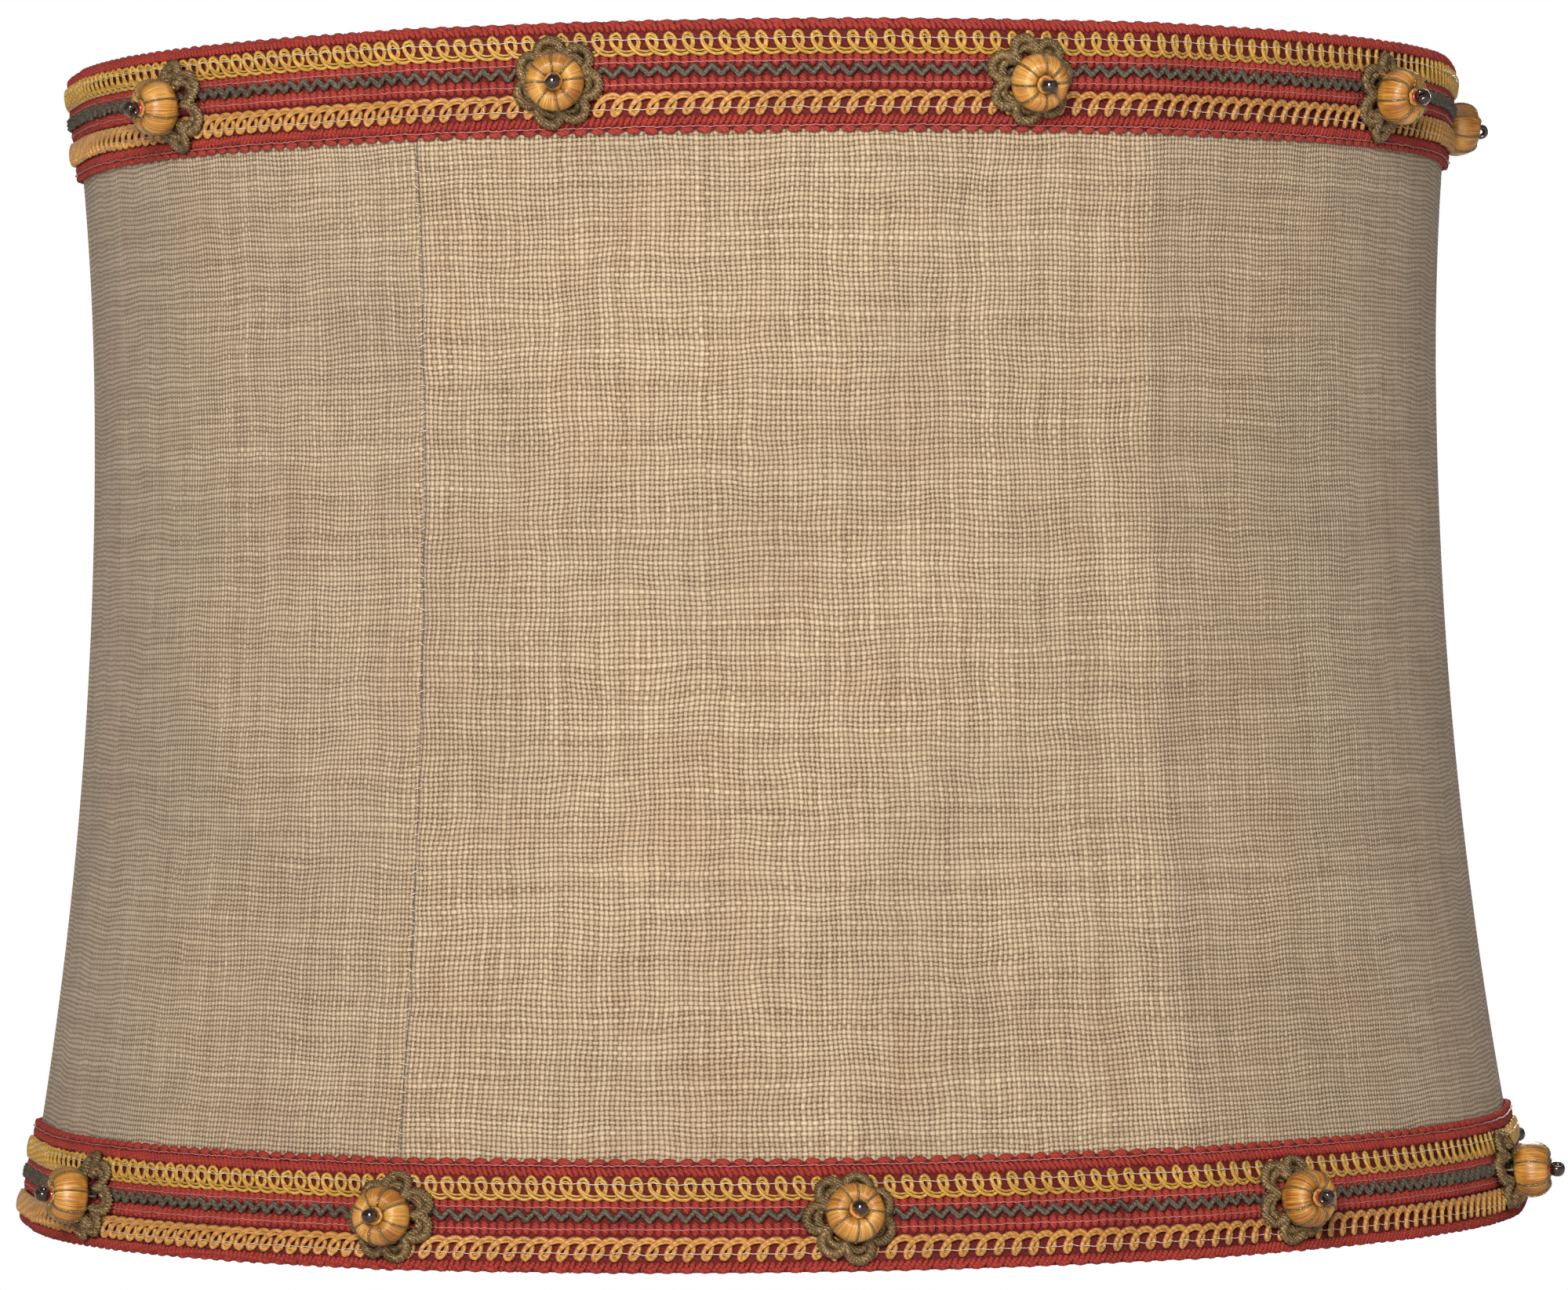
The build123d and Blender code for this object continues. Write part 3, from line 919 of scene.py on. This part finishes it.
# One closed line that goes out and back in lobes round the middle
def flowerPath(dice, reach=1.0):
    points = []
    petals = rosette["petals"] - dice.choice((0, 0, 1))
    stretch = [dice.uniform(0.90, 1.10) for _ in range(petals)]
    swing = [dice.uniform(-0.10, 0.10) for _ in range(petals)]
    steps = 14
    for petal in range(petals):
        for i in range(steps):
            t = i / steps
            lobe = math.sin(math.pi * t) ** 1.1
            spread = math.sin(2 * math.pi * t) * -0.10 * (6.28 / petals)
            angle = (petal + t) * 6.283 / petals + spread + swing[petal] * lobe
            radius = rosette["inner"] + (rosette["outer"] - rosette["inner"]) * reach * lobe * stretch[petal]
            height = 0.0011 + 0.0009 * math.cos(2 * math.pi * t) + 0.0004 * lobe * dice.uniform(-1, 1)
            points.append(Vector((math.cos(angle) * radius, math.sin(angle) * radius, height)))
    return points


def ringOfOval(bore, radius, length, segments, sides):
    points = []
    for i in range(segments):
        turn = 2 * math.pi * i / segments
        for k in range(sides):
            round_ = 2 * math.pi * k / sides
            reach = (radius + bore) / 2 + (radius - bore) / 2 * math.cos(round_)
            height = length / 2 * math.sin(round_)
            points.append(Vector((math.cos(turn) * reach, math.sin(turn) * reach, height)))
    faces = []
    for i in range(segments):
        j = (i + 1) % segments
        for k in range(sides):
            m = (k + 1) % sides
            faces.append((i * sides + k, j * sides + k, j * sides + m, i * sides + m))
    return points, faces


def meridian(turn, bore, radius, length, sides=22):
    line = []
    for k in range(sides + 1):
        round_ = -2.2 + 4.4 * k / sides
        reach = (radius + bore) / 2 + (radius - bore) / 2 * math.cos(round_) + 0.00012 * math.cos(round_)
        height = (length / 2 + 0.00012) * math.sin(round_)
        line.append(Vector((math.cos(turn) * reach, math.sin(turn) * reach, height)))
    return line


def tubeAlong(line, radius, sides, facing):
    points, faces = [], []
    for i, p in enumerate(line):
        ahead = (line[min(i + 1, len(line) - 1)] - line[max(i - 1, 0)]).normalized()
        side = ahead.cross(facing).normalized()
        up = side.cross(ahead)
        for k in range(sides):
            turn = 2 * math.pi * k / sides
            points.append(p + side * math.cos(turn) * radius + up * math.sin(turn) * radius)
    for i in range(len(line) - 1):
        for k in range(sides):
            m = (k + 1) % sides
            faces.append((i * sides + k, i * sides + m, (i + 1) * sides + m, (i + 1) * sides + k))
    faces.append(tuple(range(sides))[::-1])
    faces.append(tuple((len(line) - 1) * sides + k for k in range(sides)))
    return points, faces


def gather(into, points, faces, place):
    start = len(into[0])
    into[0].extend(place @ p for p in points)
    into[1].extend(tuple(v + start for v in face) for face in faces)


def rosettes(rim, seed):
    dice = random.Random(seed)
    cords = []
    satin, seeds, reds, twists, threads = ([], []), ([], []), ([], []), ([], []), ([], [])
    collars = ([], [])
    beadPlaces = []
    for number, angle in enumerate(rosette[rim]):
        plane = rosettePlane(rim, angle + dice.uniform(-0.25, 0.25), dice)
        facing = (plane.to_3x3() @ Vector((0, 0, 1))).normalized()
        petalState = dice.getstate()
        for k in range(2 * rosette["cordStrands"]):
            dice.setstate(petalState)
            path = flowerPath(dice, rosette["innerPetal"] if k >= rosette["cordStrands"] else 1.0)
            places = [(plane @ p, facing) for p in path]
            edges = [(i, (i + 1) % len(path)) for i in range(len(path))]
            mesh = guideMesh(bpy.data.meshes.new("petals"), places, edges)
            cords.append(grown(mesh, "strands", Points=260, Turns=44, Phase=2 * math.pi * k / 3,
                               Side=0.00090, Out=0.00065, Out_Rate=2.0, Radius=0.00066, Waves=1,
                               Wave_Height=0.0, Waver=0.0, Seed=1.0, Material=materials["bronzeCord"]))
        lean = Matrix.Rotation(math.radians(dice.uniform(-1, 1) * rosette["tilt"]), 4, "X")
        lean = lean @ Matrix.Rotation(math.radians(dice.uniform(-1, 1) * rosette["tilt"]), 4, "Y")
        base = plane @ lean
        bore, radius, length = rosette["satinHole"], rosette["satinRadius"], rosette["satinLength"]
        middle = rosette["satinSeat"] + length / 2
        points, faces = ringOfOval(bore, radius, length, 40, 20)
        gather(satin, points, faces, base @ Matrix.Translation((0, 0, middle)))
        beadPlaces += [(math.atan2(p.y, p.x) / 6.283, p.z / length + math.hypot(p.x, p.y) / radius, number)
                       for p in points]
        for k in range(rosette["twists"]):
            turn = 2 * math.pi * (k + dice.uniform(-0.12, 0.12)) / rosette["twists"]
            line = meridian(turn, bore, radius, length)
            sideways = Vector((-math.sin(turn), math.cos(turn), 0))
            points, faces = tubeAlong(line, rosette["twistRadius"], 5, sideways)
            gather(twists, points, faces, base @ Matrix.Translation((0, 0, middle)))
        points, faces = ringOfOval(0.0013, 0.0023, 0.0009, 24, 8)
        gather(collars, points, faces, base @ Matrix.Translation((0, 0, middle + length * 0.44)))
        redPlace = middle + rosette["redSeat"] + rosette["redLength"] / 2
        points, faces = ringOfOval(rosette["hole"], rosette["redRadius"], rosette["redLength"], 14, 10)
        gather(reds, points, faces, base @ Matrix.Translation((0, 0, redPlace)))
        seedPlace = redPlace + rosette["redLength"] / 2 + rosette["seedLength"] / 2
        tip = Matrix.Rotation(math.radians(dice.uniform(70, 100)), 4, "X")
        points, faces = ringOfOval(rosette["hole"], rosette["seedRadius"], rosette["seedLength"], 20, 14)
        gather(seeds, points, faces, base @ Matrix.Translation((0, 0, seedPlace)) @ tip)
        line = [Vector((0, 0, seedPlace * i / 6 - 0.0008)) for i in range(7)]
        points, faces = tubeAlong(line, 0.00030, 6, Vector((1, 0, 0)))
        gather(threads, points, faces, base)
    pieceOf(rim + "Flowers", cords, rim + "_flowers")
    finished = {}
    for title, (points, faces), material, node, slot in (
            ("SatinBeads", satin, "satin", "_satin_beads", "satin_thread"),
            ("BeadTwists", twists, "darkTwist", None, "satin_thread"),
            ("BeadCollars", collars, "amberGoldCord", None, "satin_thread"),
            ("RedBeads", reds, "redGlass", "_red_beads", "red_glass"),
            ("SeedBeads", seeds, "bronzeGlass", "_seed_beads", "bronze_glass"),
            ("BeadThreads", threads, "sewingThread", "_bead_threads", "sewing_thread")):
        piece = newPiece(rim + title, points, faces, materials[material])
        finished[title] = piece
        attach(piece, "root")
        if node:
            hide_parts(rim + node)
    layer = finished["SatinBeads"].data.attributes.new("beadPlace", "FLOAT_VECTOR", "POINT")
    layer.data.foreach_set("vector", [c for place in beadPlaces for c in place])


rosettes("top", 4)
rosettes("bottom", 8)
print("rosettes made")

seam = {"low": 0.030, "high": 0.278, "step": 0.0042, "length": 0.0022, "radius": 0.00013}


# Clear stitches over each seam, a little uneven
def seamStitches(name, angle, seed):
    dice = random.Random(seed)
    points, faces = [], []
    z = shade["bottom"] + seam["low"]
    while z < shade["bottom"] + seam["high"]:
        half = math.degrees(seam["length"] / 2 / shade["waistRadius"]) * dice.uniform(0.6, 1.1)
        slope = dice.uniform(-0.0007, 0.0007)
        line = []
        for i in range(5):
            t = i / 2 - 1
            arch = 0.0005 - 0.0006 * t * t
            line.append(skin(angle + half * t, z + slope * t, arch)[0])
        tube, sides = tubeAlong(line, seam["radius"], 5, direction(angle))
        gather((points, faces), tube, sides, Matrix.Identity(4))
        z += seam["step"] * dice.uniform(0.7, 1.3)
    piece = newPiece(name, points, faces, materials["nylonThread"])
    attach(piece, "root")


seamStitches("frontSeamStitches", shade["firstRib"], 31)
seamStitches("backSeamStitches", shade["firstRib"] + 180, 32)


def dress(node, material):
    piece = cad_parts[node]
    piece.data.materials.clear()
    piece.data.materials.append(material)


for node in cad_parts:
    if node in ("top_ring", "bottom_ring") or node.startswith(("rib_", "spider_arm_")):
        dress(node, materials["wire"])
    elif node.endswith("_ring_binding"):
        dress(node, materials["binding"])
dress("spider_washer", materials["brass"])


studio = {
    "distance": 2.0814,
    "eyeHeight": 0.1566,
    "lens": 176.04,
    "right": 0.107,          # degrees the camera is turned
    "down": 0.080,
    "roll": -0.642,
    "ambient": 0.15,         # of the light that comes from all round
}
lamps = {
    "key": {"place": (-0.30, -2.7, 0.55), "size": 0.9, "power": 74, "tone": (1, 0.98, 0.95)},
    "fill": {"place": (1.8, -1.4, 0.5), "size": 1.6, "power": 3},
    "top": {"place": (0.2, 0.6, 1.8), "size": 1.4, "power": 5},
    "back": {"place": (0.3, 2.8, 0.7), "size": 1.2, "power": 40},
}


# White to the camera, like the backdrop, while it lights the shade as a pale floor does
def floorMaterial():
    material, graph, shader = newMaterial("paleFloor", 0.6)
    place = objectPlace(graph)
    tone = graph.mix(noise(graph, place, 3.0), linear(244, 244, 243), linear(250, 250, 249))
    feed(graph, shader, "Base Color", tone)
    bright = graph.node("ShaderNodeEmission", None, {"Color": (1, 1, 1, 1), "Strength": 1.0})
    view = graph.node("ShaderNodeLightPath", out="Is Camera Ray")
    both = graph.node("ShaderNodeMixShader", None, {0: view, 2: bright})
    graph.tree.links.new(shader.outputs[0], both.socket.node.inputs[1])
    graph.tree.links.new(both.socket, material.node_tree.nodes["Material Output"].inputs["Surface"])
    return material


def makeStage():
    edge = 6.0
    z = shade["bottom"] - 0.0003
    floor = newPiece("floor", [(-edge, -edge, z), (edge, -edge, z), (edge, edge, z), (-edge, edge, z)],
                     [(0, 1, 2, 3)], floorMaterial(), smooth=False)


def areaLight(name, place, size, power, tone=(1, 1, 1)):
    light = bpy.data.lights.new(name, "AREA")
    light.energy = power
    light.size = size
    light.color = tone
    lamp = bpy.data.objects.new(name, light)
    lamp.location = place
    lamp.rotation_euler = (Vector((0, 0, -0.14)) - Vector(place)).to_track_quat("-Z", "Y").to_euler()
    bpy.context.scene.collection.objects.link(lamp)


def makeCamera():
    lens = bpy.data.cameras.new("camera")
    lens.lens = studio["lens"]
    lens.sensor_width = 36.0
    eye = bpy.data.objects.new("camera", lens)
    bpy.context.scene.collection.objects.link(eye)
    place = Matrix.Translation((0, -studio["distance"], shade["bottom"] + studio["eyeHeight"]))
    turn = Matrix.Rotation(math.radians(-studio["right"]), 4, "Z")
    turn = turn @ Matrix.Rotation(math.radians(90 - studio["down"]), 4, "X")
    turn = turn @ Matrix.Rotation(math.radians(studio["roll"]), 4, "Z")
    eye.matrix_world = place @ turn
    bpy.context.scene.camera = eye


def makeWorld():
    world = bpy.data.worlds.new("studio")
    world.use_nodes = True
    graph = Graph(world.node_tree)
    seen = world.node_tree.nodes["Background"]
    seen.inputs["Color"].default_value = (1, 1, 1, 1)
    seen.inputs["Strength"].default_value = 1.0
    lit = graph.node("ShaderNodeBackground", None, {"Color": (1, 1, 1, 1), "Strength": studio["ambient"]})
    view = graph.node("ShaderNodeLightPath", out="Is Camera Ray")
    both = graph.node("ShaderNodeMixShader", None, {0: view, 1: lit})
    graph.tree.links.new(seen.outputs[0], both.socket.node.inputs[2])
    graph.tree.links.new(both.socket, world.node_tree.nodes["World Output"].inputs["Surface"])
    bpy.context.scene.world = world


makeStage()
areaLight("keyLight", **lamps["key"])
areaLight("fillLight", **lamps["fill"])
areaLight("topLight", **lamps["top"])
areaLight("backLight", **lamps["back"])
makeCamera()
makeWorld()
bpy.context.scene.view_settings.view_transform = "Standard"
